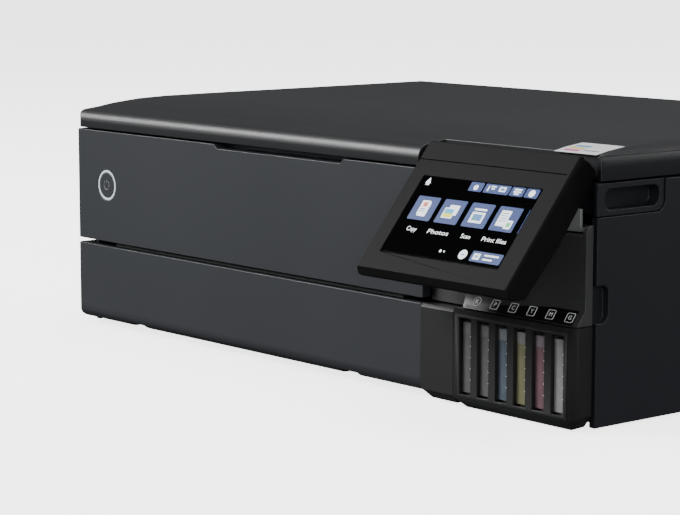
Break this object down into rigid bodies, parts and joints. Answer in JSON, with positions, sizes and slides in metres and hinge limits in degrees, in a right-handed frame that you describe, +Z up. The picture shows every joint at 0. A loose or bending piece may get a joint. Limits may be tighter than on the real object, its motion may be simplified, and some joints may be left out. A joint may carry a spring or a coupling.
{
  "type": "inkjet printer",
  "caption": "Wide low photo printer with flat-bed scanner lid, tilt-out touch panel, windowed ink tanks, drawer and telescoping output tray.",
  "frame": {"origin": "middle of the box of the resting printer, control panel tilted out, on the plane that its feet stand on", "axes": "+X to the user's right as they face the front, +Y from the front towards the back, +Z up"},
  "size_m": [0.523, 0.4296, 0.169],
  "materials": {
    "satin_casing": "fine satin texture, dark blue-grey",
    "matte_black": "matte black",
    "gloss_black": "polished black",
    "screen_glass": "glossy touch glass over a lit display",
    "platen_glass": "clear flat glass",
    "light_ring": "translucent light guide",
    "steel": "bent sheet and ground rod",
    "grey_plastic": "plain moulded grey",
    "white_pad": "white foam with a smooth skin",
    "rubber": "matte rubber",
    "tank_shell": "translucent moulded tank, ink showing through",
    "circuit_board": "green solder mask"
  },
  "bodies": {
    "casing": {"base_tray": "matte_black", "foot_front_left": "rubber", "foot_front_right": "rubber", "foot_rear_left": "rubber", "foot_rear_right": "rubber", "left_side_cover": "satin_casing", "right_side_cover": "satin_casing", "rear_case": "satin_casing", "upper_fascia": "satin_casing", "button_light_ring": "light_ring", "tank_frame": "matte_black", "tank_side_panel": "matte_black", "tank_shroud": "gloss_black", "ink_tank_1": "tank_shell", "ink_tank_2": "tank_shell", "ink_tank_3": "tank_shell", "ink_tank_4": "tank_shell", "ink_tank_5": "tank_shell", "ink_tank_6": "tank_shell", "scanner_hinge_left": "steel", "scanner_hinge_right": "steel", "guide_rail": "steel", "platen": "matte_black", "maintenance_box": "grey_plastic", "power_supply": "grey_plastic", "main_board": "circuit_board"},
    "rear_jam_cover": {"rear_jam_cover": "matte_black"},
    "rear_feed_cover": {"rear_feed_cover": "satin_casing"},
    "rear_paper_support": {"rear_paper_support": "matte_black"},
    "rear_guide_left": {"rear_guide_left": "matte_black"},
    "rear_guide_right": {"rear_guide_right": "matte_black"},
    "power_button": {"power_button": "satin_casing"},
    "paper_drawer": {"paper_cassette": "grey_plastic"},
    "front_cover": {"front_cover": "satin_casing"},
    "cassette_guide_left": {"cassette_guide_left": "matte_black"},
    "cassette_guide_right": {"cassette_guide_right": "matte_black"},
    "photo_cassette": {"photo_cassette": "grey_plastic"},
    "output_tray": {"output_tray": "matte_black"},
    "output_tray_mid": {"output_tray_mid": "matte_black"},
    "output_tray_end": {"output_tray_end": "matte_black"},
    "tank_cover": {"tank_cover": "grey_plastic"},
    "control_panel": {"panel_housing": "matte_black", "panel_back": "matte_black", "touch_screen": "screen_glass"},
    "scanner_unit": {"scanner_housing": "satin_casing", "scanner_glass": "platen_glass"},
    "scan_bar": {"scan_bar": "matte_black"},
    "document_lid": {"document_lid": "satin_casing", "lid_pad": "white_pad"},
    "print_carriage": {"print_carriage": "matte_black"},
    "drive_pulley": {"drive_pulley": "steel"},
    "feed_roller": {"feed_roller": "rubber"},
    "eject_roller": {"eject_roller": "rubber"},
    "idler_gear": {"idler_gear": "grey_plastic"},
    "ink_cap_1": {"ink_cap_1": "matte_black"},
    "ink_cap_2": {"ink_cap_2": "matte_black"},
    "ink_cap_3": {"ink_cap_3": "matte_black"},
    "ink_cap_4": {"ink_cap_4": "matte_black"},
    "ink_cap_5": {"ink_cap_5": "matte_black"},
    "ink_cap_6": {"ink_cap_6": "matte_black"}
  },
  "joints": [
    {"name": "scanner_lift", "type": "hinge", "parent": "casing", "child": "scanner_unit", "pos_m": [0, 0.18181, 0.143], "axis": [-1, 0, 0], "range_deg": [0, 25]},
    {"name": "lid_hinge", "type": "hinge", "parent": "scanner_unit", "child": "document_lid", "pos_m": [0, 0.18481, 0.1485], "axis": [-1, 0, 0], "range_deg": [0, 65]},
    {"name": "scan_bar_travel", "type": "slide", "parent": "scanner_unit", "child": "scan_bar", "axis": [1, 0, 0], "range_m": [0, 0.27]},
    {"name": "panel_tilt", "type": "hinge", "parent": "casing", "child": "control_panel", "pos_m": [0, -0.15569, 0.1497], "axis": [-1, 0, 0], "range_deg": [-23.6, 4.6]},
    {"name": "power_button_press", "type": "slide", "parent": "casing", "child": "power_button", "axis": [0, 1, 0], "range_m": [0, 0.0012], "stiffness_N_per_m": 500},
    {"name": "drawer_slide", "type": "slide", "parent": "casing", "child": "paper_drawer", "axis": [0, -1, 0], "range_m": [0, 0.22]},
    {"name": "front_cover_hinge", "type": "hinge", "parent": "paper_drawer", "child": "front_cover", "pos_m": [0, -0.15469, 0.0095], "axis": [1, 0, 0], "range_deg": [0, 85]},
    {"name": "cassette_guide_left_slide", "type": "slide", "parent": "paper_drawer", "child": "cassette_guide_left", "axis": [1, 0, 0], "range_m": [0, 0.054]},
    {"name": "cassette_guide_right_slide", "type": "slide", "parent": "paper_drawer", "child": "cassette_guide_right", "axis": [-1, 0, 0], "range_m": [0, 0.054]},
    {"name": "photo_cassette_slide", "type": "slide", "parent": "paper_drawer", "child": "photo_cassette", "axis": [0, 1, 0], "range_m": [0, 0.08]},
    {"name": "output_tray_slide", "type": "slide", "parent": "casing", "child": "output_tray", "axis": [0, -1, 0], "range_m": [0, 0.17]},
    {"name": "output_tray_mid_slide", "type": "slide", "parent": "output_tray", "child": "output_tray_mid", "axis": [0, -1, 0], "range_m": [0, 0.15]},
    {"name": "output_tray_end_slide", "type": "slide", "parent": "output_tray_mid", "child": "output_tray_end", "axis": [0, -1, 0], "range_m": [0, 0.14]},
    {"name": "tank_cover_hinge", "type": "hinge", "parent": "casing", "child": "tank_cover", "pos_m": [0, -0.05119, 0.1182], "axis": [-1, 0, 0], "range_deg": [0, 50]},
    {"name": "ink_cap_1_hinge", "type": "hinge", "parent": "casing", "child": "ink_cap_1", "pos_m": [0.1677, -0.07219, 0.0844], "axis": [-1, 0, 0], "range_deg": [0, 95]},
    {"name": "ink_cap_2_hinge", "type": "hinge", "parent": "casing", "child": "ink_cap_2", "pos_m": [0.18362, -0.07219, 0.0844], "axis": [-1, 0, 0], "range_deg": [0, 95]},
    {"name": "ink_cap_3_hinge", "type": "hinge", "parent": "casing", "child": "ink_cap_3", "pos_m": [0.19954, -0.07219, 0.0844], "axis": [-1, 0, 0], "range_deg": [0, 95]},
    {"name": "ink_cap_4_hinge", "type": "hinge", "parent": "casing", "child": "ink_cap_4", "pos_m": [0.21546, -0.07219, 0.0844], "axis": [-1, 0, 0], "range_deg": [0, 95]},
    {"name": "ink_cap_5_hinge", "type": "hinge", "parent": "casing", "child": "ink_cap_5", "pos_m": [0.23138, -0.07219, 0.0844], "axis": [-1, 0, 0], "range_deg": [0, 95]},
    {"name": "ink_cap_6_hinge", "type": "hinge", "parent": "casing", "child": "ink_cap_6", "pos_m": [0.2473, -0.07219, 0.0844], "axis": [-1, 0, 0], "range_deg": [0, 95]},
    {"name": "carriage_slide", "type": "slide", "parent": "casing", "child": "print_carriage", "axis": [-1, 0, 0], "range_m": [0, 0.37]},
    {"name": "drive_pulley_turn", "type": "hinge", "parent": "casing", "child": "drive_pulley", "pos_m": [-0.226, 0.03761, 0.103], "axis": [0, 1, 0], "range_deg": [0, 2660]},
    {"name": "feed_roller_turn", "type": "hinge", "parent": "casing", "child": "feed_roller", "pos_m": [0, 0.00281, 0.076], "axis": [1, 0, 0], "continuous": true},
    {"name": "idler_gear_turn", "type": "hinge", "parent": "casing", "child": "idler_gear", "pos_m": [-0.246, -0.02969, 0.076], "axis": [1, 0, 0], "continuous": true},
    {"name": "eject_roller_turn", "type": "hinge", "parent": "casing", "child": "eject_roller", "pos_m": [0, -0.06219, 0.076], "axis": [1, 0, 0], "continuous": true},
    {"name": "rear_feed_cover_hinge", "type": "hinge", "parent": "casing", "child": "rear_feed_cover", "pos_m": [0, 0.20861, 0.145], "axis": [-1, 0, 0], "range_deg": [0, 110]},
    {"name": "paper_support_slide", "type": "slide", "parent": "casing", "child": "rear_paper_support", "axis": [0, 0.342, 0.9397], "range_m": [0, 0.06]},
    {"name": "rear_guide_left_slide", "type": "slide", "parent": "casing", "child": "rear_guide_left", "axis": [1, 0, 0], "range_m": [0, 0.06]},
    {"name": "rear_guide_right_slide", "type": "slide", "parent": "casing", "child": "rear_guide_right", "axis": [-1, 0, 0], "range_m": [0, 0.06]},
    {"name": "jam_cover_pull", "type": "slide", "parent": "casing", "child": "rear_jam_cover", "axis": [0, 1, 0], "range_m": [0, 0.04]}
  ],
  "couplings": [
    {"joint": "tank_cover_hinge", "follows": "scanner_lift", "ratio": 2},
    {"joint": "cassette_guide_right_slide", "follows": "cassette_guide_left_slide", "ratio": 1},
    {"joint": "rear_guide_right_slide", "follows": "rear_guide_left_slide", "ratio": 1},
    {"joint": "drive_pulley_turn", "follows": "carriage_slide", "rad_per_m": 125},
    {"joint": "idler_gear_turn", "follows": "feed_roller_turn", "ratio": -1},
    {"joint": "eject_roller_turn", "follows": "feed_roller_turn", "ratio": 1}
  ]
}
